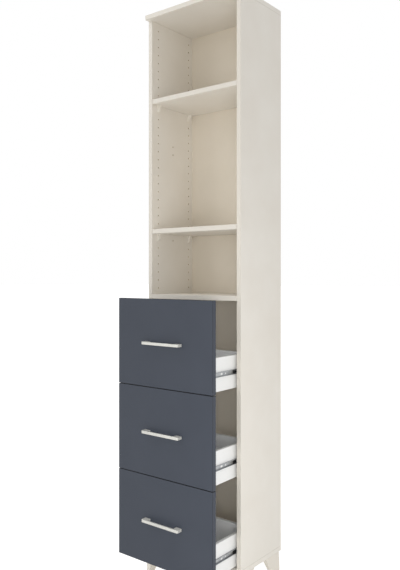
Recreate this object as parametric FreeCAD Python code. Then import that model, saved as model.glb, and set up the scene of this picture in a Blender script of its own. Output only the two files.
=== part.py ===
import FreeCAD, Part
import os

# Tall storage cabinet: open shelves above three drawers, on four splayed legs.
# Millimetres. +Z is up, the front faces -Y, +X is to the right of someone facing the front.
# The origin lies on the floor, centred under the cabinet with its drawers drawn out as modelled.

# Body
cabinet_width = 440.0
side_depth = 276.0
side_height = 2052.0
board = 18.0
edge_radius = 1.0
leg_height = 120.0

# Back panel, held in a groove
back_board = 3.0
rear_recess = 19.0
groove_depth = 8.0
groove_play = 0.1

# Rows of shelf holes in the sides. A pitch count is how many pitches a hole lies below the top one
hole_pitch = 32.0
first_hole_drop = 32.0
hole_diameter = 5.0
hole_depth = 12.0
front_row_setback = 37.0
rear_row_setback = 47.0
spare_hole_setback = 128.0
spare_hole_pitch_counts = (14, 15, 26)
upper_shelf_pitch_count = 9
lower_shelf_pitch_count = 25
fixed_shelf_pitch_count = 33

# Loose shelves and the wedge supports that carry them
shelf_side_play = 1.0
shelf_setback = 1.0
shelf_rear_play = 1.0
support_width = 12.0
support_reach = 14.0
support_foot = 5.0
support_lip = 2.5
support_boss = 3.0
support_round = 0.8
pin_play = 0.05
pin_length = 9.0

# Fasteners of the body
dowel_diameter = 8.0
dowel_length = 30.0
dowel_in_face = 12.0
dowel_play = 0.5
body_screw_head = 10.0
body_screw_shank = 5.0
body_screw_length = 50.0
body_screw_front = 64.0
body_screw_rear = 76.0
body_dowel_front = 100.0
body_dowel_rear = 112.0
small_screw_head = 6.6
small_screw_shank = 3.5
small_screw_length = 15.0
screw_play = 0.05
recess_width = 0.8
recess_share = 0.6
cam_diameter = 15.0
cam_above_bolt = 4.0
cam_backset = 34.0
cam_play = 0.1
cam_slot_width = 2.0
cam_slot_depth = 3.0
cam_bolt_shank = 6.0
cam_bolt_head = 7.0
cam_bolt_head_length = 3.0
cam_bolt_bore = 8.0

# Legs
leg_thickness = 18.0
leg_top_width = 94.0
leg_foot_width = 22.0
leg_splay = 9.0
leg_inset = 15.0
leg_plate_thickness = 5.0
leg_plate_width = 40.0
leg_rib_thickness = 6.0
leg_rib_drop = 40.0
leg_edge_radius = 1.0
leg_screw_margin = 14.0

# Drawer fronts, which share the height from the fixed shelf down to the bottom panel,
# and how far the drawers are drawn out as modelled
drawer_names = ("upper_drawer", "middle_drawer", "lower_drawer")
front_board = 18.0
front_gap = 2.0
front_top_drop = 2.0
front_bottom_gap = 4.0
closing_gap = 2.0
drawer_opening = 146.0

# Drawer boxes
box_board = 12.0
box_height = 118.0
box_raise = 1.0
bottom_board = 3.0
bottom_raise = 10.0
bottom_groove = 6.0
box_dowel_diameter = 6.0
box_dowel_length = 30.0
box_dowel_in_front = 10.0
box_dowel_in_side = 8.0
box_dowel_low_margin = 30.0
box_dowel_high_margin = 28.0

# Ball slides: a narrow channel on the cabinet side inside a wide one on the drawer side.
# The overlap is the stretch that both still share when the drawer is fully drawn out.
slide_gap = 10.5
slide_overlap = 60.0
slide_setback = 2.0
slide_rear_room = 12.0
slide_end_margin = 1.0
sheet = 1.0
drawer_rail_play = 4.5
drawer_rail_lip = 0.6
cabinet_rail_height = 9.0
cabinet_rail_play = 0.5
cage_play = 0.3
cage_lip_play = 0.4
cage_web_play = 0.8
cage_web = 1.2
cage_nose = 31.0
ball_diameter = 2.6
ball_play = 0.2
ball_count = 6
cage_end_margin = 2.0
ball_end_margin = 1.5
cabinet_rail_screw_start = 35.0
cabinet_rail_screw_end = 13.0
drawer_rail_screw_margin = 31.0
drawer_screw_cover = 1.5
access_slot_length = 14.0
access_slot_width = 8.0
access_slot_margin = 67.0
spare_rail_hole_diameter = 6.5
spare_rail_hole_margin = 91.0

# Bow handle, one on each front
handle_length = 170.0
handle_height = 10.0
handle_reach = 23.0
handle_bar = 6.0
handle_foot = 24.0
handle_corner = 5.0
handle_edge = 0.8
handle_screw_shank = 4.0
handle_screw_head = 8.0
handle_screw_head_height = 2.4
handle_screw_grip = 10.0
handle_hole_play = 0.25

# How far a cutting body runs past the face it opens
overrun = 1.0

# An edge runs along an axis when this share of its direction does
mostly_share = 0.5

# Degrees
full_turn = 360.0

# Places that follow from the sizes above
half_width = cabinet_width / 2
inner_half = half_width - board
front_overhang = front_board + closing_gap
front_reach = drawer_opening + closing_gap + front_board + handle_reach
front_y = (front_reach - side_depth) / 2
rear_y = front_y + side_depth
back_y = rear_y - rear_recess - back_board
base_z = leg_height + board
side_top_z = base_z + side_height
fixed_shelf_z = side_top_z - first_hole_drop - fixed_shelf_pitch_count * hole_pitch
fronts_top_z = fixed_shelf_z - front_top_drop
front_pitch = (fronts_top_z - base_z - front_bottom_gap + front_gap) / len(drawer_names)
front_height = front_pitch - front_gap
slide_length = back_y - front_y - slide_setback - slide_rear_room
box_length = closing_gap + slide_setback + slide_length + slide_end_margin
box_back_y = front_y - closing_gap - drawer_opening
box_half = inner_half - slide_gap
box_inner_half = box_half - box_board
rail_z = box_raise + box_height / 2
cam_height = board / 2 + cam_above_bolt
cam_mouth = cam_bolt_head + 2 * cam_play

# Across a slide, from the cabinet side: the drawer rail's lips, the cage, the drawer rail's web.
# Up from its middle: the cabinet rail, the balls, the drawer rail.
drawer_rail_depth = slide_gap - drawer_rail_play
drawer_rail_height = cabinet_rail_height + 2 * (ball_diameter + 2 * ball_play + sheet)
drawer_screw_length = sheet + box_board - drawer_screw_cover
cage_web_start = slide_gap - sheet - cage_web_play - cage_web
cage_arm_start = drawer_rail_play + sheet + cage_lip_play
cabinet_rail_depth = cage_web_start - cabinet_rail_play
ball_centre = (cage_arm_start + cage_web_start) / 2

RIGHT = FreeCAD.Vector(1, 0, 0)
BACK = FreeCAD.Vector(0, 1, 0)
UP = FreeCAD.Vector(0, 0, 1)


def vec(x, y, z):
    return FreeCAD.Vector(x, y, z)


def box(x_low, x_high, y_low, y_high, z_low, z_high):
    return Part.makeBox(x_high - x_low, y_high - y_low, z_high - z_low, vec(x_low, y_low, z_low))


def rod(diameter, start, direction, length):
    return Part.makeCylinder(diameter / 2, length, start, direction)


def mirrored(shape):
    return shape.mirror(vec(0, 0, 0), RIGHT)


def both_sides(shapes):
    """The shapes of the right-hand side and their mirror images on the left."""
    return list(shapes) + [mirrored(shape) for shape in shapes]


def moved(shape, x, y, z):
    copy = shape.copy()
    copy.translate(vec(x, y, z))
    return copy


def cut(shape, tools):
    return shape.cut(Part.makeCompound(tools))


def joined(shapes):
    return shapes[0].fuse(shapes[1:]).removeSplitter()


def save(node, shape):
    shape.exportStep("parts/" + node + ".step")


def save_group(node, shapes):
    save(node, Part.makeCompound(shapes))


def rounded(shape, radius, wanted):
    """Round the straight edges for which wanted(edge middle, edge direction) is true."""
    chosen = []
    for edge in shape.Edges:
        first = edge.Vertexes[0].Point
        last = edge.Vertexes[-1].Point
        direction = (last - first).normalize()
        if wanted((first + last) / 2, direction):
            chosen.append(edge)
    return shape.makeFillet(radius, chosen)


def all_edges(middle, direction):
    return True


def along(direction, axis):
    return abs(direction.dot(axis)) > mostly_share


def hole_z(pitch_count):
    """Height of a shelf hole, by its pitches below the top one."""
    return side_top_z - first_hole_drop - pitch_count * hole_pitch


def screw(head, shank, length, head_at, drive, play=0.0):
    """A countersunk screw whose tip points along drive, or with some play its hole."""
    head_radius = head / 2 + play
    shank_radius = shank / 2 + play
    cone = head_radius - shank_radius
    tip = length - shank_radius
    points = [vec(0, 0, 0), vec(head_radius, 0, 0), vec(shank_radius, 0, -cone),
              vec(shank_radius, 0, -tip), vec(0, 0, -length), vec(0, 0, 0)]
    body = Part.Face(Part.makePolygon(points)).revolve(vec(0, 0, 0), UP, full_turn)
    if play == 0:
        arm = head / 2 * recess_share
        depth = cone * recess_share
        half = recess_width / 2
        body = cut(body, [box(-arm, arm, -half, half, -depth, overrun),
                          box(-half, half, -arm, arm, -depth, overrun)])
    body.Placement = FreeCAD.Placement(head_at, FreeCAD.Rotation(-UP, drive))
    return body


def small_screw(head_at, drive, play=0.0):
    return screw(small_screw_head, small_screw_shank, small_screw_length, head_at, drive, play)


# Body fasteners, all on the right-hand side
def body_screws(play=0.0):
    """Long screws down through the top panel and up through the bottom panel into the sides."""
    x = half_width - board / 2
    found = []
    for place in (body_screw_front, side_depth - body_screw_rear):
        top = vec(x, front_y + place, side_top_z + board)
        bottom = vec(x, front_y + place, leg_height)
        found.append(screw(body_screw_head, body_screw_shank, body_screw_length, top, -UP, play))
        found.append(screw(body_screw_head, body_screw_shank, body_screw_length, bottom, UP, play))
    return found


def body_dowels(play=0.0):
    """Dowels between each side and the top, the bottom and the fixed shelf."""
    diameter = dowel_diameter
    length = dowel_length + 2 * play
    x = half_width - board / 2
    found = []
    for place in (body_dowel_front, side_depth - body_dowel_rear):
        y = front_y + place
        in_shelf = dowel_length - dowel_in_face + play
        found.append(rod(diameter, vec(x, y, side_top_z - in_shelf), UP, length))
        found.append(rod(diameter, vec(x, y, base_z + in_shelf), -UP, length))
        found.append(rod(diameter, vec(inner_half - in_shelf, y, fixed_shelf_z), RIGHT, length))
    return found


def row_places():
    """Where the two full rows of shelf holes stand."""
    return (front_y + front_row_setback, rear_y - rear_row_setback)


def cam_bolts():
    """Bolts in the sides' own holes that reach into the cams of the fixed shelf."""
    found = []
    for y in row_places():
        tip = inner_half - cam_backset
        thread = rod(hole_diameter, vec(inner_half, y, fixed_shelf_z), RIGHT, pin_length)
        shank = rod(cam_bolt_shank, vec(tip, y, fixed_shelf_z), RIGHT, cam_backset)
        head = rod(cam_bolt_head, vec(tip, y, fixed_shelf_z), RIGHT, cam_bolt_head_length)
        found.append(joined([thread, shank, head]))
    return found


def cam_locks():
    """Round cam housings in the underside of the fixed shelf."""
    found = []
    under = fixed_shelf_z - board / 2
    for y in row_places():
        x = inner_half - cam_backset
        drum = rod(cam_diameter, vec(x, y, under), UP, cam_height)
        mouth = rod(cam_mouth, vec(x, y, fixed_shelf_z), RIGHT, cam_diameter)
        arm = cam_diameter / 2 * recess_share
        half = cam_slot_width / 2
        slot = box(x - arm, x + arm, y - half, y + half, under - overrun, under + cam_slot_depth)
        # The mouth goes on past the bolt's head, into the drum's far half
        hollow = rod(cam_mouth, vec(x, y, fixed_shelf_z), -RIGHT, cam_bolt_head_length)
        found.append(cut(drum, [mouth, hollow, slot]))
    return found


def cabinet_rail_screw_places():
    return (cabinet_rail_screw_start, slide_length - cabinet_rail_screw_end)


def rail_screws(play=0.0):
    """Screws that hold the right-hand cabinet rails, one pair to each drawer."""
    found = []
    for bottom in drawer_bottoms():
        for place in cabinet_rail_screw_places():
            y = front_y + slide_setback + place
            head = vec(inner_half - sheet, y, bottom + rail_z)
            found.append(small_screw(head, RIGHT, play))
    return found


def drawer_bottoms():
    """Lower edges of the three fronts, from the top drawer down."""
    return [fronts_top_z - front_height - number * front_pitch for number in range(len(drawer_names))]


# Panels of the body
def side_panel():
    """The right-hand side."""
    panel = box(inner_half, half_width, front_y, rear_y, base_z, side_top_z)

    def outer_or_front(middle, direction):
        return middle.x > half_width - edge_radius or (along(direction, UP) and middle.y < front_y + edge_radius)

    panel = rounded(panel, edge_radius, outer_or_front)
    holes = []
    for y in row_places():
        for pitch_count in range(fixed_shelf_pitch_count + 1):
            holes.append(pin_hole(y, pitch_count))
    for pitch_count in spare_hole_pitch_counts:
        holes.append(pin_hole(front_y + spare_hole_setback, pitch_count))
    groove = box(inner_half - overrun, inner_half + groove_depth, back_y - groove_play,
                 back_y + back_board + groove_play, base_z - overrun, side_top_z + overrun)
    return cut(panel, holes + [groove] + body_dowels(dowel_play) + body_screws(screw_play)
               + rail_screws(screw_play))


def pin_hole(y, pitch_count):
    start = vec(inner_half - overrun, y, hole_z(pitch_count))
    return rod(hole_diameter, start, RIGHT, hole_depth + overrun)


def end_panel(low_z, groove_low, groove_high):
    """The top or bottom panel, which runs over the sides and out as far as the shut fronts."""
    panel = box(-half_width, half_width, front_y - front_overhang, rear_y, low_z, low_z + board)
    panel = rounded(panel, edge_radius, all_edges)
    groove = box(-inner_half - groove_depth, inner_half + groove_depth, back_y - groove_play,
                 back_y + back_board + groove_play, groove_low, groove_high)
    return cut(panel, [groove] + both_sides(body_dowels(dowel_play)) + both_sides(body_screws(screw_play)))


def top_panel():
    return end_panel(side_top_z, side_top_z - overrun, side_top_z + groove_depth)


def bottom_panel():
    panel = end_panel(leg_height, base_z - groove_depth, base_z + overrun)
    return cut(panel, both_sides(leg_screws(screw_play)))


def back_panel():
    reach = groove_depth - groove_play
    return box(-inner_half - reach, inner_half + reach, back_y, back_y + back_board,
               base_z - reach, side_top_z + reach)


def front_edge_pair(depth_edge):
    """A test that picks the two long edges along the front of a shelf."""
    def wanted(middle, direction):
        return along(direction, RIGHT) and middle.y < depth_edge + edge_radius
    return wanted


def fixed_shelf():
    low = fixed_shelf_z - board / 2
    shelf = box(-inner_half, inner_half, front_y, back_y - groove_play, low, low + board)
    shelf = rounded(shelf, edge_radius, front_edge_pair(front_y))
    bores = []
    for y in row_places():
        x = inner_half - cam_backset
        bores.append(rod(cam_bolt_bore, vec(x, y, fixed_shelf_z), RIGHT, cam_backset + overrun))
        bores.append(rod(cam_diameter + 2 * cam_play, vec(x, y, low - overrun), UP,
                         cam_height + cam_play + overrun))
    return cut(shelf, both_sides(bores) + both_sides(body_dowels(dowel_play)))


def loose_shelf(pitch_count):
    low = hole_z(pitch_count) - board / 2
    reach = inner_half - shelf_side_play
    start = front_y + shelf_setback
    shelf = box(-reach, reach, start, back_y - shelf_rear_play, low, low + board)
    return rounded(shelf, edge_radius, front_edge_pair(start))


def shelf_support(y, pitch_count):
    """A wedge on the right-hand side, under the shelf at that hole, with a pin in the hole below."""
    top = hole_z(pitch_count) - board / 2
    pin_z = hole_z(pitch_count + 1)
    low = pin_z - support_boss
    wall = inner_half
    points = [vec(wall, 0, top), vec(wall - support_reach, 0, top),
              vec(wall - support_reach, 0, top - support_lip), vec(wall - support_foot, 0, low),
              vec(wall, 0, low), vec(wall, 0, top)]
    wedge = Part.Face(Part.makePolygon(points)).extrude(vec(0, support_width, 0))
    wedge.translate(vec(0, y - support_width / 2, 0))

    def free_edge(middle, direction):
        return middle.x < wall - support_foot / 2 and middle.z < top

    wedge = rounded(wedge, support_round, free_edge)
    pin = rod(hole_diameter - 2 * pin_play, vec(wall, y, pin_z), RIGHT, pin_length)
    return joined([wedge, pin])


def shelf_supports():
    found = []
    for pitch_count in (upper_shelf_pitch_count, lower_shelf_pitch_count):
        for y in row_places():
            found.append(shelf_support(y, pitch_count))
    return both_sides(found)


# Legs
def leg(outer_y, inward):
    """A right-hand leg: a tapered blade under the side with a screw plate reaching inwards.

    outer_y is the blade's outer edge at the top and inward is the way to the cabinet's middle.
    """
    top_inner = outer_y + inward * leg_top_width
    foot_outer = outer_y - inward * leg_splay
    foot_inner = foot_outer + inward * leg_foot_width
    points = [vec(half_width, outer_y, leg_height), vec(half_width, top_inner, leg_height),
              vec(half_width, foot_inner, 0), vec(half_width, foot_outer, 0),
              vec(half_width, outer_y, leg_height)]
    blade = Part.Face(Part.makePolygon(points)).extrude(vec(-leg_thickness, 0, 0))

    def below_the_panel(middle, direction):
        return middle.z < leg_height - edge_radius

    blade = rounded(blade, leg_edge_radius, below_the_panel)
    inner_x = half_width - leg_thickness
    y_low = min(outer_y, top_inner)
    y_high = max(outer_y, top_inner)
    plate = box(inner_x - leg_plate_width, inner_x, y_low, y_high,
                leg_height - leg_plate_thickness, leg_height)
    middle = (y_low + y_high) / 2
    half_rib = leg_rib_thickness / 2
    under = leg_height - leg_plate_thickness
    rib_reach = leg_plate_width - leg_plate_thickness
    rib_points = [vec(inner_x, middle - half_rib, under), vec(inner_x - rib_reach, middle - half_rib, under),
                  vec(inner_x, middle - half_rib, under - leg_rib_drop), vec(inner_x, middle - half_rib, under)]
    rib = Part.Face(Part.makePolygon(rib_points)).extrude(vec(0, leg_rib_thickness, 0))
    return cut(joined([blade, plate, rib]), leg_screws(screw_play))


def leg_outer_edges():
    """Outer edges of the front and rear legs at the top, with the way inwards."""
    return [(front_y - front_overhang + leg_inset, 1), (rear_y - leg_inset, -1)]


def leg_screws(play=0.0):
    """Screws up through the plates of the right-hand legs."""
    found = []
    x = half_width - leg_thickness - leg_plate_width / 2
    for outer_y, inward in leg_outer_edges():
        for place in (leg_screw_margin, leg_top_width - leg_screw_margin):
            head = vec(x, outer_y + inward * place, leg_height - leg_plate_thickness)
            found.append(small_screw(head, UP, play))
    return found


# Ball slides on the right-hand side, at the height of the drawer's lower edge
def channel(wall_x, away, height, depth, start_y):
    """An open channel whose web stands at wall_x and whose flanges reach away from it."""
    far = wall_x + away * depth
    web_far = wall_x + away * sheet
    half = height / 2
    end_y = start_y + slide_length
    web = box(min(wall_x, web_far), max(wall_x, web_far), start_y, end_y, rail_z - half, rail_z + half)
    x_low = min(wall_x, far)
    x_high = max(wall_x, far)
    upper = box(x_low, x_high, start_y, end_y, rail_z + half - sheet, rail_z + half)
    lower = box(x_low, x_high, start_y, end_y, rail_z - half, rail_z - half + sheet)
    return [web, upper, lower]


def cabinet_rail():
    """The narrow channel screwed to the cabinet side."""
    start = front_y + slide_setback
    rail = joined(channel(inner_half, -1, cabinet_rail_height, cabinet_rail_depth, start))
    holes = []
    for place in cabinet_rail_screw_places():
        holes.append(small_screw(vec(inner_half - sheet, start + place, rail_z), RIGHT, screw_play))
    return cut(rail, holes)


def drawer_rail_start():
    return box_back_y + closing_gap + slide_setback


def rail_hole_pair(margin):
    """Two places on a drawer rail, as far from its front end as from its rear end."""
    return (margin, slide_length - margin)


def drawer_rail():
    """The wide channel screwed to the drawer side, with its turned-in lips."""
    start = drawer_rail_start()
    pieces = channel(box_half, 1, drawer_rail_height, drawer_rail_depth, start)
    mouth = box_half + drawer_rail_depth
    inside = drawer_rail_height / 2 - sheet
    for low in (rail_z + inside - drawer_rail_lip, rail_z - inside):
        pieces.append(box(mouth - sheet, mouth, start, start + slide_length, low, low + drawer_rail_lip))
    holes = drawer_rail_screws(screw_play)
    for place in rail_hole_pair(access_slot_margin):
        holes.append(access_slot(start + place))
    for place in rail_hole_pair(spare_rail_hole_margin):
        centre = vec(box_half - overrun, start + place, rail_z)
        holes.append(rod(spare_rail_hole_diameter, centre, RIGHT, sheet + 2 * overrun))
    return cut(joined(pieces), holes)


def access_slot(middle):
    """A long hole with round ends through the drawer rail's web."""
    half_run = (access_slot_length - access_slot_width) / 2
    depth = sheet + 2 * overrun
    start_x = box_half - overrun
    half = access_slot_width / 2
    ends = [rod(access_slot_width, vec(start_x, middle + way * half_run, rail_z), RIGHT, depth)
            for way in (1, -1)]
    run = box(start_x, start_x + depth, middle - half_run, middle + half_run, rail_z - half, rail_z + half)
    return joined([run] + ends)


def drawer_rail_screws(play=0.0):
    """The two screws of the right-hand drawer rail."""
    found = []
    for place in rail_hole_pair(drawer_rail_screw_margin):
        head = vec(box_half + sheet, drawer_rail_start() + place, rail_z)
        found.append(screw(small_screw_head, small_screw_shank, drawer_screw_length, head, -RIGHT, play))
    return found


def ball_places():
    """Where the balls sit along the slide: the middle of the stretch where both rails overlap."""
    middle = front_y + slide_setback + (slide_length - drawer_opening) / 2
    zone = slide_overlap - 2 * (cage_end_margin + ball_end_margin)
    pitch = (zone - ball_diameter) / (ball_count - 1)
    first = middle - (zone - ball_diameter) / 2
    return [first + number * pitch for number in range(ball_count)]


def ball_cage():
    """The plastic strip between the rails, with its nose and its two rows of balls."""
    inside = drawer_rail_height / 2 - sheet
    arm_far = inside - cage_play
    arm_near = cabinet_rail_height / 2 + cage_play
    middle = front_y + slide_setback + (slide_length - drawer_opening) / 2
    half_zone = slide_overlap / 2 - cage_end_margin
    start = middle - half_zone - cage_nose
    end = middle + half_zone
    x_web = inner_half - cage_web_start - cage_web
    x_arm = inner_half - cage_arm_start
    web = box(x_web, x_web + cage_web, start, end, rail_z - arm_far, rail_z + arm_far)
    arms = [box(x_web, x_arm, start, end, rail_z + arm_near, rail_z + arm_far),
            box(x_web, x_arm, start, end, rail_z - arm_far, rail_z - arm_near)]
    pockets = []
    balls = []
    for y in ball_places():
        for way in (1, -1):
            centre = vec(inner_half - ball_centre, y, rail_z + way * (arm_near + arm_far) / 2)
            start_z = vec(centre.x, centre.y, centre.z - arm_far / 2)
            pockets.append(rod(ball_diameter + 2 * ball_play, start_z, UP, arm_far))
            balls.append(Part.makeSphere(ball_diameter / 2, centre))
    return [cut(joined([web] + arms), pockets)] + balls


# Drawer pieces, at the height of the front's lower edge
def drawer_front():
    panel = box(-half_width, half_width, box_back_y - front_board, box_back_y, 0, front_height)
    panel = rounded(panel, edge_radius, all_edges)
    holes = [bottom_board_groove()] + both_sides(box_dowels(dowel_play))
    for x in handle_screw_places():
        start = vec(x, box_back_y - front_board - overrun, front_height / 2)
        holes.append(rod(handle_screw_shank + 2 * handle_hole_play, start, BACK, front_board + 2 * overrun))
    return cut(panel, holes)


def bottom_low_z():
    return box_raise + bottom_raise


def bottom_board_groove():
    """The groove that the drawer's bottom slides into, as one body that cuts every wall."""
    reach = box_inner_half + bottom_groove
    rear = box_back_y + box_length - box_board + bottom_groove
    return box(-reach, reach, box_back_y - bottom_groove, rear,
               bottom_low_z() - groove_play, bottom_low_z() + bottom_board + groove_play)


def drawer_bottom():
    reach = box_inner_half + bottom_groove - groove_play
    rear = box_back_y + box_length - box_board + bottom_groove - groove_play
    return box(-reach, reach, box_back_y - bottom_groove + groove_play, rear,
               bottom_low_z(), bottom_low_z() + bottom_board)


def box_dowels(play=0.0):
    """Dowels of the right-hand drawer side, into the front and into the back."""
    length = box_dowel_length + 2 * play
    side_x = box_half - box_board / 2
    back_y_middle = box_back_y + box_length - box_board / 2
    found = []
    for height in (box_dowel_low_margin, box_height - box_dowel_high_margin):
        z = box_raise + height
        front = vec(side_x, box_back_y - box_dowel_in_front - play, z)
        found.append(rod(box_dowel_diameter, front, BACK, length))
        back = vec(box_inner_half + box_dowel_in_side + play, back_y_middle, z)
        found.append(rod(box_dowel_diameter, back, -RIGHT, length))
    return found


def drawer_side():
    """The right-hand side of a drawer box."""
    panel = box(box_inner_half, box_half, box_back_y, box_back_y + box_length,
                box_raise, box_raise + box_height)

    def long_edge(middle, direction):
        return along(direction, BACK)

    panel = rounded(panel, edge_radius, long_edge)
    holes = drawer_rail_screws(screw_play) + box_dowels(dowel_play)
    return cut(panel, holes + [bottom_board_groove()])


def drawer_back():
    rear = box_back_y + box_length
    panel = box(-box_inner_half, box_inner_half, rear - box_board, rear, box_raise, box_raise + box_height)

    def long_edge(middle, direction):
        return along(direction, RIGHT)

    panel = rounded(panel, edge_radius, long_edge)
    return cut(panel, [bottom_board_groove()] + both_sides(box_dowels(dowel_play)))


def handle_screw_places():
    place = (handle_length - handle_foot) / 2
    return (-place, place)


def handle():
    """A flat bar bent back at both ends into broad feet."""
    half = handle_length / 2
    face = box_back_y - front_board
    z = front_height / 2
    low = z - handle_height / 2
    block = box(-half, half, face - handle_reach, face, low, low + handle_height)

    def outer_corner(middle, direction):
        return along(direction, UP) and middle.y < face - handle_reach / 2

    block = rounded(block, handle_corner, outer_corner)
    inner = half - handle_foot
    gap = box(-inner, inner, face - handle_reach + handle_bar, face + overrun,
              low - overrun, low + handle_height + overrun)
    bow = block.cut(gap)

    def level_edge(middle, direction):
        return not along(direction, UP) and middle.y < face - handle_edge

    bow = rounded(bow, handle_edge, level_edge)
    bores = []
    for x in handle_screw_places():
        bores.append(rod(handle_screw_shank, vec(x, face + overrun, z), -BACK, handle_screw_grip + overrun))
    return cut(bow, bores)


def handle_screws():
    """Round-headed screws through the front into the feet of the handle."""
    found = []
    for x in handle_screw_places():
        start = vec(x, box_back_y, front_height / 2)
        head = rod(handle_screw_head, start, BACK, handle_screw_head_height)
        half = handle_screw_head_height / 2
        far_rim = [edge for edge in head.Edges if edge.BoundBox.YMin > start.y + half]
        head = head.makeFillet(half, far_rim)
        length = front_board + handle_screw_grip - handle_hole_play
        shank = rod(handle_screw_shank, start, -BACK, length)
        found.append(joined([head, shank]))
    return found


def drawer_nodes():
    """Every node of one drawer, as a list of solids each, at the height of its lower edge."""
    return {
        "front": [drawer_front()],
        "handle": [handle()],
        "handle_screws": handle_screws(),
        "side_right": [drawer_side()],
        "side_left": [mirrored(drawer_side())],
        "back": [drawer_back()],
        "bottom": [drawer_bottom()],
        "dowels": both_sides(box_dowels()),
        "rail_right": [drawer_rail()],
        "rail_left": [mirrored(drawer_rail())],
        "rail_screws": both_sides(drawer_rail_screws()),
        "ball_cages": both_sides(ball_cage()),
        "cabinet_rail_right": [cabinet_rail()],
        "cabinet_rail_left": [mirrored(cabinet_rail())],
    }


def save_body():
    side = side_panel()
    save("side_right", side)
    save("side_left", mirrored(side))
    save("top_panel", top_panel())
    save("bottom_panel", bottom_panel())
    save("back_panel", back_panel())
    save("fixed_shelf", fixed_shelf())
    save("upper_shelf", loose_shelf(upper_shelf_pitch_count))
    save("lower_shelf", loose_shelf(lower_shelf_pitch_count))
    save_group("shelf_supports", shelf_supports())
    save_group("panel_dowels", both_sides(body_dowels()))
    save_group("panel_screws", both_sides(body_screws()))
    save_group("cam_bolts", both_sides(cam_bolts()))
    save_group("cam_locks", both_sides(cam_locks()))
    save_group("short_screws", both_sides(rail_screws() + leg_screws()))


def save_legs():
    for place, (outer_y, inward) in zip(("front", "rear"), leg_outer_edges()):
        right_leg = leg(outer_y, inward)
        save(place + "_leg_right", right_leg)
        save(place + "_leg_left", mirrored(right_leg))


def save_drawers():
    nodes = drawer_nodes()
    for name, bottom in zip(drawer_names, drawer_bottoms()):
        for node, solids in nodes.items():
            save_group(name + "_" + node, [moved(solid, 0, 0, bottom) for solid in solids])


os.makedirs("parts", exist_ok=True)
save_body()
save_legs()
save_drawers()
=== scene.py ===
import bpy
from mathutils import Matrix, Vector


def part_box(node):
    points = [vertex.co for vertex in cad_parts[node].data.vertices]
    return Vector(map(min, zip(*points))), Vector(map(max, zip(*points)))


# Looks of a tall storage cabinet: open shelves above three drawers, on four splayed legs.
# Metres. +Z is up, the front faces -Y, +X is to the right of someone facing the front.

# Camera: its place, its turn about Z in radians, its lens in millimetres and its shift
camera_place = (1.4885, -1.9152, 1.1843)
camera_turn = 0.6744
camera_lens = 40.263
camera_shift = (0.01665, -0.01686)
quarter_turn = 1.5708

# Colours, as they look under plain white light, and how rough each surface is
# A board's faces, their faint clouds, its edge strips in a darker tone as painted shade, the painted shade
# along its edges, and how much it mirrors
BODY_LOOK = {"face": "#EBE6DD", "cloud": "#E7E1D7", "strip": "#DCD6CB", "seam": "#D9D3C8",
             "rough": 0.5, "mirror": 0.5}
FRONT_LOOK = {"face": "#3F444E", "cloud": "#3C414B", "strip": "#24272D", "seam": "#202329",
              "rough": 0.48, "mirror": 0.25}
WHITE_LOOK = {"face": "#F3F3F2", "cloud": "#EFEFED", "strip": "#F0F0EE", "seam": "#D6D6D3",
              "rough": 0.45, "mirror": 0.35}
# Even surfaces: their tone and the faint clouds in it. What has no mirror of its own has the plain one.
# Painted shade: the back's decor is darker and warmer than the body's, for the shade inside the bays.
SHADED_BACK_LOOK = {"face": "#E7DECF", "cloud": "#E3DACA", "rough": 0.5, "mirror": 0.25}
LACQUER_LOOK = {"face": "#F2F2F1", "cloud": "#EEEEEC"}
LEG_LOOK = {"face": "#E9E3D8", "cloud": "#E3DCD0", "rough": 0.42}
SUPPORT_LOOK = {"face": "#EFEAE0", "cloud": "#E9E3D8", "rough": 0.4}
CAGE_LOOK = {"face": "#161617", "cloud": "#1D1D1F", "rough": 0.45}
HANDLE_LOOK = {"face": "#D2D1CB", "cloud": "#CCCBC5", "rough": 0.34}
FLOOR_LOOK = {"face": "#F6F6F5", "cloud": "#F3F3F2", "rough": 0.9}
# Grained surfaces: their light and their dark tone
CHIP_LOOK = {"light": "#D6C4A2", "dark": "#B59C74", "rough": 0.9}
FIBRE_LOOK = {"light": "#A98660", "dark": "#8A6A48", "rough": 0.8}
BEECH_LOOK = {"light": "#C99B66", "dark": "#A87A48"}
CAM_LOOK = {"light": "#B6B8BA", "dark": "#909396", "rough": 0.45}
RAIL_LOOK = {"light": "#B6B8BA", "dark": "#909396", "rough": 0.38}
SCREW_LOOK = {"light": "#C4C1B4", "dark": "#A6A396", "rough": 0.35}
ball_colour = "#C9CBCD"
ball_rough = 0.15
plain_mirror = 0.5
full_metal_share = 1.0
handle_metal_share = 0.1

# Roughness limits, and how far roughness runs below and above its middle
LACQUER_ROUGH = (0.45, 0.6)
BEECH_ROUGH = (0.6, 0.75)
PEARL_SPREAD = (0.06, 0.06)
MOULD_SPREAD = (0.05, 0.08)
FLOW_SPREAD = (0.05, 0.05)
BRUSH_SPREAD = (0.06, 0.1)

# The stretch of a noise over which one tone turns into the other
CLOUD_LIMITS = (0.3, 0.7)
FIBRE_LIMITS = (0.25, 0.75)
CHIP_LIMITS = (0.1, 0.9)

# The finer and finer layers of each noise, and how strong each is next to the coarser one before it
plain_layers = 2.0
plain_layer_share = 0.5
cloud_layers = 3.0
pearl_layers = 3.0
pearl_layer_share = 0.6
fibre_layers = 5.0
fibre_layer_share = 0.7
flow_layers = 1.0
brush_layers = 3.0
beech_layers = 4.0

# A point that lies deeper than this inside a face of a board's box isn't on that face
face_margin = 0.00035
# How far the painted shade along a board's edges reaches from them
seam_shade_width = 0.0009

# Surface detail. A noise is made to size by dividing the place, so its own scale stays plain.
plain_scale = 1.0
pearl_size = 0.0011
pearl_depth = 0.00004
mottle_size = 0.14
chip_size = 0.0022
fibre_size = 0.0036
weave_size = 0.0012
brush_width = 0.00035
brush_length = 0.03
brush_depth_share = 0.6
grain_width = 0.0012
grain_length = 0.03
mould_size = 0.0006
mould_depth = 0.00003
wear_size = 0.02
flow_size = 0.0018

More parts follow.
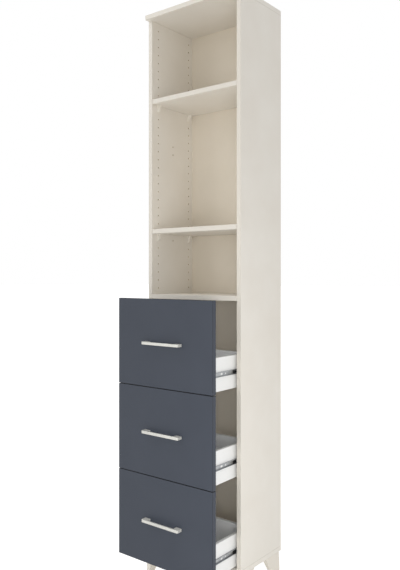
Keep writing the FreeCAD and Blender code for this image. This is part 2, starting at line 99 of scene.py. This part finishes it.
# Ball centres in a cage strip: how far in from its outer face, above and below its middle height, from
# each other and from its rear end. Then the length that holds the rows, and the reach of a ball's steel.
ball_inset = 0.0013
ball_rise = 0.006
ball_pitch = 0.01008
ball_end = 0.0028
ball_rows_length = 0.056
ball_reach = 0.00133

# Light
white = (1, 1, 1, 1)
world_light = 0.69
world_seen = 1.0
# Each soft box: its power, its size, its place and the place that it points at
SOFT_BOXES = {
    "middle_right": (9.3, (1.0, 1.0), (1.7, -2.2, 1.0), (0.0, 0.0, 1.2)),
    "near_right": (3.0, (0.3, 1.2), (0.75, -0.75, 0.6), (0.0, 0.0, 0.6)),
    "middle_left": (4.0, (1.5, 1.5), (-2.2, -3.2, 1.3), (0.0, 0.0, 1.1)),
    "high_left": (10.8, (1.2, 1.0), (-1.5, -1.2, 3.2), (0.0, -0.25, 0.5)),
    "far_left": (30.0, (3.0, 3.0), (-4.5, -7.5, 2.0), (0.0, 0.0, 1.0)),
    "far_high_left": (11.0, (3.0, 3.0), (-4.0, -5.0, 5.0), (0.0, 0.0, 1.1)),
}

# Floor
floor_half = 60.0
floor_lift = 0.55
floor_drop = 0.0005

# A colour code's two digits for each of red, green and blue, and the curve that they follow
CODE_STARTS = (1, 3, 5)
code_length = 2
code_base = 16
code_top = 255
curve_knee = 0.04045
curve_slope = 12.92
curve_offset = 0.055
curve_power = 2.4

# Pieces
ALONG_X, ALONG_Y, ALONG_Z = range(3)
DRAWERS = ("upper_drawer", "middle_drawer", "lower_drawer")
BODY_BOARDS = ("side_left", "side_right", "top_panel", "bottom_panel", "fixed_shelf", "upper_shelf",
               "lower_shelf")
LEGS = ("front_leg_left", "front_leg_right", "rear_leg_left", "rear_leg_right")
BODY_SCREWS = ("panel_screws", "short_screws", "cam_bolts")
DRAWER_SCREWS = ("handle_screws", "rail_screws")
BOX_BOARDS = ("side_left", "side_right", "back")
RAILS = ("rail_left", "rail_right", "cabinet_rail_left", "cabinet_rail_right")


def curved(share):
    """One channel of a colour code, as the amount of light that it stands for."""
    if share <= curve_knee:
        return share / curve_slope
    return ((share + curve_offset) / (1 + curve_offset)) ** curve_power


def linear(code):
    """A colour written as on a colour card, as the shader wants it."""
    shares = [int(code[start:start + code_length], code_base) / code_top for start in CODE_STARTS]
    red, green, blue = (curved(share) for share in shares)
    return (red, green, blue, 1.0)


def even(size):
    """The same size along each axis."""
    return (size, size, size)


def around(middle, spread):
    """The limits that lie below and above a middle value."""
    below, above = spread
    return (middle - below, middle + above)


def seen_directly(tree):
    """1 for what the camera sees, directly or mirrored, and 0 for what only lights the scene."""
    path = tree.nodes.new("ShaderNodeLightPath")
    seen = tree.nodes.new("ShaderNodeMath")
    seen.operation = "MAXIMUM"
    tree.links.new(path.outputs["Is Camera Ray"], seen.inputs[0])
    tree.links.new(path.outputs["Is Glossy Ray"], seen.inputs[1])
    return seen.outputs[0]


class Nodes:
    """The nodes of one material, with short names for what is used again and again."""

    def __init__(self, name):
        self.material = bpy.data.materials.new(name)
        self.material.use_nodes = True
        self.tree = self.material.node_tree
        self.tree.nodes.clear()
        self.output = self.tree.nodes.new("ShaderNodeOutputMaterial")
        self.shader = self.tree.nodes.new("ShaderNodeBsdfPrincipled")
        self.join(self.shader.outputs["BSDF"], self.output.inputs["Surface"])
        self.place = self.tree.nodes.new("ShaderNodeTexCoord").outputs["Object"]

    def join(self, source, target):
        self.tree.links.new(source, target)

    def feed(self, socket, value):
        if isinstance(value, bpy.types.NodeSocket):
            self.join(value, socket)
        else:
            socket.default_value = value

    def operate(self, kind, operation, first, second):
        node = self.tree.nodes.new(kind)
        node.operation = operation
        self.feed(node.inputs[0], first)
        if second is not None:
            self.feed(node.inputs[1], second)
        return node.outputs[0]

    def math(self, operation, first, second=None):
        return self.operate("ShaderNodeMath", operation, first, second)

    def vector(self, operation, first, second=None):
        return self.operate("ShaderNodeVectorMath", operation, first, second)

    def split(self, vector):
        node = self.tree.nodes.new("ShaderNodeSeparateXYZ")
        self.join(vector, node.inputs[0])
        return node.outputs

    def stretched(self, sizes):
        """The place divided by a size along each axis."""
        return self.vector("MULTIPLY", self.place, tuple(1 / size for size in sizes))

    def noise(self, sizes, layers=plain_layers, layer_share=plain_layer_share):
        """A noise whose features are as large as sizes, from 0 to 1."""
        node = self.tree.nodes.new("ShaderNodeTexNoise")
        node.inputs["Scale"].default_value = plain_scale
        node.inputs["Detail"].default_value = layers
        node.inputs["Roughness"].default_value = layer_share
        self.join(self.stretched(sizes), node.inputs["Vector"])
        return node.outputs["Fac"]

    def cells(self, sizes):
        """A random grey for each chip of about the given size."""
        node = self.tree.nodes.new("ShaderNodeTexVoronoi")
        node.inputs["Scale"].default_value = plain_scale
        self.join(self.stretched(sizes), node.inputs["Vector"])
        return node.outputs["Color"]

    def mapped(self, factor, end, limits):
        """The factor taken from given limits to 0 and 1, or from 0 and 1 to given limits."""
        node = self.tree.nodes.new("ShaderNodeMapRange")
        self.feed(node.inputs["Value"], factor)
        node.inputs[end + " Min"].default_value, node.inputs[end + " Max"].default_value = limits
        return node.outputs["Result"]

    def contrast(self, factor, limits):
        """The factor stretched so that its limits become 0 and 1."""
        return self.mapped(factor, "From", limits)

    def between(self, factor, limits):
        """A number that runs from one limit to the other as the factor runs from 0 to 1."""
        return self.mapped(factor, "To", limits)

    def blend(self, factor, first, second):
        node = self.tree.nodes.new("ShaderNodeMix")
        node.data_type = "RGBA"
        self.feed(node.inputs["Factor"], factor)
        self.feed(node.inputs["A"], first)
        self.feed(node.inputs["B"], second)
        return node.outputs["Result"]

    def clouded(self, factor, look):
        """The look's tone, which turns into that of its clouds as the factor runs from 0 to 1."""
        return self.blend(factor, linear(look["face"]), linear(look["cloud"]))

    def grained(self, factor, look):
        """The look's dark tone, which turns into its light one as the factor runs from 0 to 1."""
        return self.blend(factor, linear(look["dark"]), linear(look["light"]))

    def bump(self, height, depth, depth_share=1.0):
        node = self.tree.nodes.new("ShaderNodeBump")
        node.inputs["Strength"].default_value = depth_share
        node.inputs["Distance"].default_value = depth
        self.feed(node.inputs["Height"], height)
        self.join(node.outputs["Normal"], self.shader.inputs["Normal"])

    def finish(self, colour, roughness, metal_share=0, mirror=plain_mirror):
        self.feed(self.shader.inputs["Base Color"], colour)
        self.feed(self.shader.inputs["Roughness"], roughness)
        self.feed(self.shader.inputs["Metallic"], metal_share)
        self.shader.inputs["Specular IOR Level"].default_value = mirror


def depths(nodes, node_name):
    """How far a point lies inside the faces of the node's own box, along X, Y and Z."""
    low, high = (Vector(corner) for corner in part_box(node_name))
    centre = (low + high) / 2
    half = (high - low) / 2
    offset = nodes.vector("ABSOLUTE", nodes.vector("SUBTRACT", nodes.place, tuple(centre)))
    return nodes.split(nodes.vector("SUBTRACT", tuple(half), offset))


def core_mask(nodes, depth):
    """1 on drilled and grooved faces, which lie inside the board's own box, and 0 on its outside."""
    nearest = nodes.math("MINIMUM", nodes.math("MINIMUM", depth["X"], depth["Y"]), depth["Z"])
    return nodes.math("GREATER_THAN", nearest, face_margin)


def strip_mask(nodes, node_name, depth):
    """1 on a board's edge strips, and 0 on its two large faces and on its left and right ends."""
    low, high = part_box(node_name)
    extents = [high[axis] - low[axis] for axis in range(len(low))]
    thin = depth[extents.index(min(extents))]
    return nodes.math("GREATER_THAN", nodes.math("MINIMUM", thin, depth["X"]), face_margin)


def seam_shade_mask(nodes, depth):
    """1 along the board's rounded edges, where its edge strips meet its faces and painted shade darkens
    them, and 0 elsewhere.
    """
    nearer = nodes.math("MINIMUM", depth["X"], depth["Y"])
    farther = nodes.math("MAXIMUM", depth["X"], depth["Y"])
    middle = nodes.math("MAXIMUM", nearer, nodes.math("MINIMUM", farther, depth["Z"]))
    return nodes.math("LESS_THAN", middle, seam_shade_width)


def pressed_face(nodes, look):
    """The smooth pressed finish of a board: its faintly clouded colour and its fine pearl."""
    mottle = nodes.noise(even(mottle_size), cloud_layers)
    pearl = nodes.noise(even(pearl_size), pearl_layers, pearl_layer_share)
    return nodes.clouded(nodes.contrast(mottle, CLOUD_LIMITS), look), pearl


def chips(nodes):
    """Pressed wood chips of uneven tone."""
    grey = nodes.cells(even(chip_size))
    return nodes.grained(nodes.contrast(grey, CHIP_LIMITS), CHIP_LOOK)


def board(node_name, look):
    """A board with a smooth pressed finish, edge strips darkened as painted shade, painted shade along its
    edges, and bare chips where it is drilled or grooved.
    """
    nodes = Nodes("board_" + node_name)
    decor, pearl = pressed_face(nodes, look)
    depth = depths(nodes, node_name)
    # Painted shade: the edge strips take a darker tone than the faces.
    strip_shaded = nodes.blend(strip_mask(nodes, node_name, depth), decor, linear(look["strip"]))
    # Painted shade: a darker tone along every edge of the board, standing in for the shade in the joints.
    seam_shaded = nodes.blend(seam_shade_mask(nodes, depth), strip_shaded, linear(look["seam"]))
    mask = core_mask(nodes, depth)
    sheen = nodes.between(pearl, around(look["rough"], PEARL_SPREAD))
    rough = nodes.math("MAXIMUM", sheen, nodes.math("MULTIPLY", mask, CHIP_LOOK["rough"]))
    nodes.finish(nodes.blend(mask, seam_shaded, chips(nodes)), rough, mirror=look["mirror"])
    nodes.bump(pearl, pearl_depth)
    return nodes.material


def hardboard(node_name, look):
    """A thin back: a decor like the body's but darker and warmer as painted shade in front, and bare
    pressed fibre behind.
    """
    nodes = Nodes("hardboard_" + node_name)
    low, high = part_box(node_name)
    middle = (low[ALONG_Y] + high[ALONG_Y]) / 2
    rear = nodes.math("GREATER_THAN", nodes.split(nodes.place)["Y"], middle)
    decor, pearl = pressed_face(nodes, look)
    fibre = nodes.noise(even(fibre_size), fibre_layers, fibre_layer_share)
    bare = nodes.grained(nodes.contrast(fibre, FIBRE_LIMITS), FIBRE_LOOK)
    rough = nodes.between(rear, (look["rough"], FIBRE_LOOK["rough"]))
    nodes.finish(nodes.blend(rear, decor, bare), rough, mirror=look["mirror"])
    nodes.bump(pearl, pearl_depth)
    return nodes.material


def lacquered(name, look):
    """Lacquer over hardboard, with the weave of its press faintly in it."""
    nodes = Nodes(name)
    mottle = nodes.noise(even(mottle_size), cloud_layers)
    weave = nodes.noise(even(weave_size))
    nodes.finish(nodes.clouded(mottle, look), nodes.between(weave, LACQUER_ROUGH))
    nodes.bump(weave, pearl_depth)
    return nodes.material


def moulded(name, look):
    """Plastic with the fine, even grain of a sparked mould."""
    nodes = Nodes(name)
    grain = nodes.noise(even(mould_size))
    tint = nodes.noise(even(mottle_size))
    nodes.finish(nodes.clouded(tint, look), nodes.between(grain, around(look["rough"], MOULD_SPREAD)))
    nodes.bump(grain, mould_depth)
    return nodes.material


def ball_mask(nodes, node_name):
    """1 on the steel balls, in two rows on each strip of a pair of cages, and 0 on its plastic."""
    low, high = (Vector(corner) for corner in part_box(node_name))
    place = nodes.split(nodes.place)
    across = nodes.math("SUBTRACT", nodes.math("ABSOLUTE", place["X"]), high.x - ball_inset)
    along = nodes.math("PINGPONG", nodes.math("SUBTRACT", place["Y"], high.y - ball_end), ball_pitch / 2)
    height = nodes.math("ABSOLUTE", nodes.math("SUBTRACT", place["Z"], (low.z + high.z) / 2))
    upward = nodes.math("SUBTRACT", height, ball_rise)
    squares = [nodes.math("MULTIPLY", offset, offset) for offset in (across, along, upward)]
    distance = nodes.math("SQRT", nodes.math("ADD", nodes.math("ADD", squares[0], squares[1]), squares[2]))
    near = nodes.math("LESS_THAN", distance, ball_reach)
    return nodes.math("MULTIPLY", near, nodes.math("GREATER_THAN", place["Y"], high.y - ball_rows_length))


def caged_balls(node_name, look):
    """Moulded cage strips with polished steel balls in them."""
    nodes = Nodes("cage_" + node_name)
    grain = nodes.noise(even(mould_size))
    tint = nodes.noise(even(mottle_size))
    steel = ball_mask(nodes, node_name)
    rough = nodes.between(steel, (look["rough"], ball_rough))
    colour = nodes.blend(steel, nodes.clouded(tint, look), linear(ball_colour))
    nodes.finish(colour, rough, steel)
    nodes.bump(grain, mould_depth)
    return nodes.material


def satin_lacquer(name, look):
    """Cast metal under a satin lacquer that has flowed out almost smooth."""
    nodes = Nodes(name)
    flow = nodes.noise(even(flow_size), flow_layers)
    cloud = nodes.noise(even(wear_size), cloud_layers)
    rough = nodes.between(flow, around(look["rough"], FLOW_SPREAD))
    nodes.finish(nodes.clouded(nodes.contrast(cloud, CLOUD_LIMITS), look), rough, handle_metal_share)
    nodes.bump(flow, pearl_depth)
    return nodes.material


def metal(name, look, along):
    """Metal with fine scratches along one axis."""
    nodes = Nodes(name)
    sizes = list(even(brush_width))
    sizes[along] = brush_length
    brushed = nodes.noise(sizes, brush_layers)
    cloud = nodes.noise(even(wear_size), cloud_layers)
    tone = nodes.math("DIVIDE", nodes.math("ADD", brushed, cloud), 2)
    rough = nodes.between(brushed, around(look["rough"], BRUSH_SPREAD))
    nodes.finish(nodes.grained(nodes.contrast(tone, CLOUD_LIMITS), look), rough, full_metal_share)
    nodes.bump(brushed, pearl_depth, brush_depth_share)
    return nodes.material


def beech(name):
    """Round beech, with its grain along the dowel and short dark flecks."""
    nodes = Nodes(name)
    grain = nodes.noise((grain_length, grain_width, grain_width), beech_layers)
    nodes.finish(nodes.grained(nodes.contrast(grain, CLOUD_LIMITS), BEECH_LOOK),
                 nodes.between(grain, BEECH_ROUGH))
    nodes.bump(grain, pearl_depth)
    return nodes.material


def set_material(node_name, material):
    """Puts one material on every slot of a CAD node."""
    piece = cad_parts[node_name]
    if not piece.material_slots:
        piece.data.materials.append(material)
    for slot in piece.material_slots:
        slot.material = material


def dress_body():
    for name in BODY_BOARDS:
        set_material(name, board(name, BODY_LOOK))
    set_material("back_panel", hardboard("back_panel", SHADED_BACK_LOOK))
    leg = moulded("leg_plastic", LEG_LOOK)
    for name in LEGS:
        set_material(name, leg)
    set_material("shelf_supports", moulded("support_plastic", SUPPORT_LOOK))
    set_material("panel_dowels", beech("dowel_wood"))
    set_material("cam_locks", metal("cam_zinc", CAM_LOOK, ALONG_X))


def dress_screws():
    screw = metal("screw_steel", SCREW_LOOK, ALONG_Z)
    for name in BODY_SCREWS:
        set_material(name, screw)
    for drawer in DRAWERS:
        for part in DRAWER_SCREWS:
            set_material(drawer + "_" + part, screw)


def dress_drawers():
    rail = metal("rail_steel", RAIL_LOOK, ALONG_Y)
    handle = satin_lacquer("handle_lacquer", HANDLE_LOOK)
    bottom = lacquered("bottom_white", LACQUER_LOOK)
    dowel = beech("box_dowel_wood")
    for drawer in DRAWERS:
        front = drawer + "_front"
        set_material(front, board(front, FRONT_LOOK))
        for part in BOX_BOARDS:
            name = drawer + "_" + part
            set_material(name, board(name, WHITE_LOOK))
        set_material(drawer + "_bottom", bottom)
        set_material(drawer + "_dowels", dowel)
        set_material(drawer + "_handle", handle)
        cages = drawer + "_ball_cages"
        set_material(cages, caged_balls(cages, CAGE_LOOK))
        for part in RAILS:
            set_material(drawer + "_" + part, rail)


def stage_material(name, look):
    """Plain and pale. Seen directly it is lifted a little, so that it is white but keeps the shadow."""
    nodes = Nodes(name)
    nodes.finish(nodes.clouded(nodes.noise(even(mottle_size)), look), look["rough"])
    nodes.shader.inputs["Emission Color"].default_value = white
    lift = nodes.math("MULTIPLY", seen_directly(nodes.tree), floor_lift)
    nodes.join(lift, nodes.shader.inputs["Emission Strength"])
    return nodes.material


def make_floor():
    corners = [(-floor_half, -floor_half), (floor_half, -floor_half), (floor_half, floor_half),
               (-floor_half, floor_half)]
    mesh = bpy.data.meshes.new("floor")
    mesh.from_pydata([(x, y, -floor_drop) for x, y in corners], [], [tuple(range(len(corners)))])
    floor = bpy.data.objects.new("floor", mesh)
    bpy.context.scene.collection.objects.link(floor)
    mesh.materials.append(stage_material("floor_white", FLOOR_LOOK))


def make_soft_box(name, power, size, place, aim):
    data = bpy.data.lights.new(name, "AREA")
    data.shape = "RECTANGLE"
    data.size, data.size_y = size
    data.energy = power
    lamp = bpy.data.objects.new(name, data)
    lamp.location = place
    lamp.rotation_euler = (Vector(place) - Vector(aim)).to_track_quat("Z", "Y").to_euler()
    lamp.visible_camera = False
    bpy.context.scene.collection.objects.link(lamp)


def make_world():
    """An even white all round, which lights the scene less than it shows."""
    world = bpy.data.worlds.new("studio")
    bpy.context.scene.world = world
    world.use_nodes = True
    tree = world.node_tree
    tree.nodes.clear()
    output = tree.nodes.new("ShaderNodeOutputWorld")
    background = tree.nodes.new("ShaderNodeBackground")
    background.inputs["Color"].default_value = white
    level = tree.nodes.new("ShaderNodeMapRange")
    level.inputs["To Min"].default_value = world_light
    level.inputs["To Max"].default_value = world_seen
    tree.links.new(seen_directly(tree), level.inputs["Value"])
    tree.links.new(level.outputs["Result"], background.inputs["Strength"])
    tree.links.new(background.outputs["Background"], output.inputs["Surface"])


def light_scene():
    make_world()
    for name, (power, size, place, aim) in SOFT_BOXES.items():
        make_soft_box(name, power, size, place, aim)


def make_camera():
    data = bpy.data.cameras.new("camera")
    data.lens = camera_lens
    data.shift_x, data.shift_y = camera_shift
    camera = bpy.data.objects.new("camera", data)
    camera.location = camera_place
    camera.rotation_euler = (quarter_turn, 0, camera_turn)
    bpy.context.scene.collection.objects.link(camera)
    bpy.context.scene.camera = camera


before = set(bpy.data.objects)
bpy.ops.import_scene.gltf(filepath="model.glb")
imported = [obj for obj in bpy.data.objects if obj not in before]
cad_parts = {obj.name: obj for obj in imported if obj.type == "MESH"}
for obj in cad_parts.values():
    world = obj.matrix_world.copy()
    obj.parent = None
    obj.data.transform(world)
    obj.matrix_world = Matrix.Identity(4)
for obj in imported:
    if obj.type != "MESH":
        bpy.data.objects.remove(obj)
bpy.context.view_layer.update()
bpy.context.scene.view_settings.view_transform = "Standard"
make_camera()
dress_body()
dress_screws()
dress_drawers()
make_floor()
light_scene()
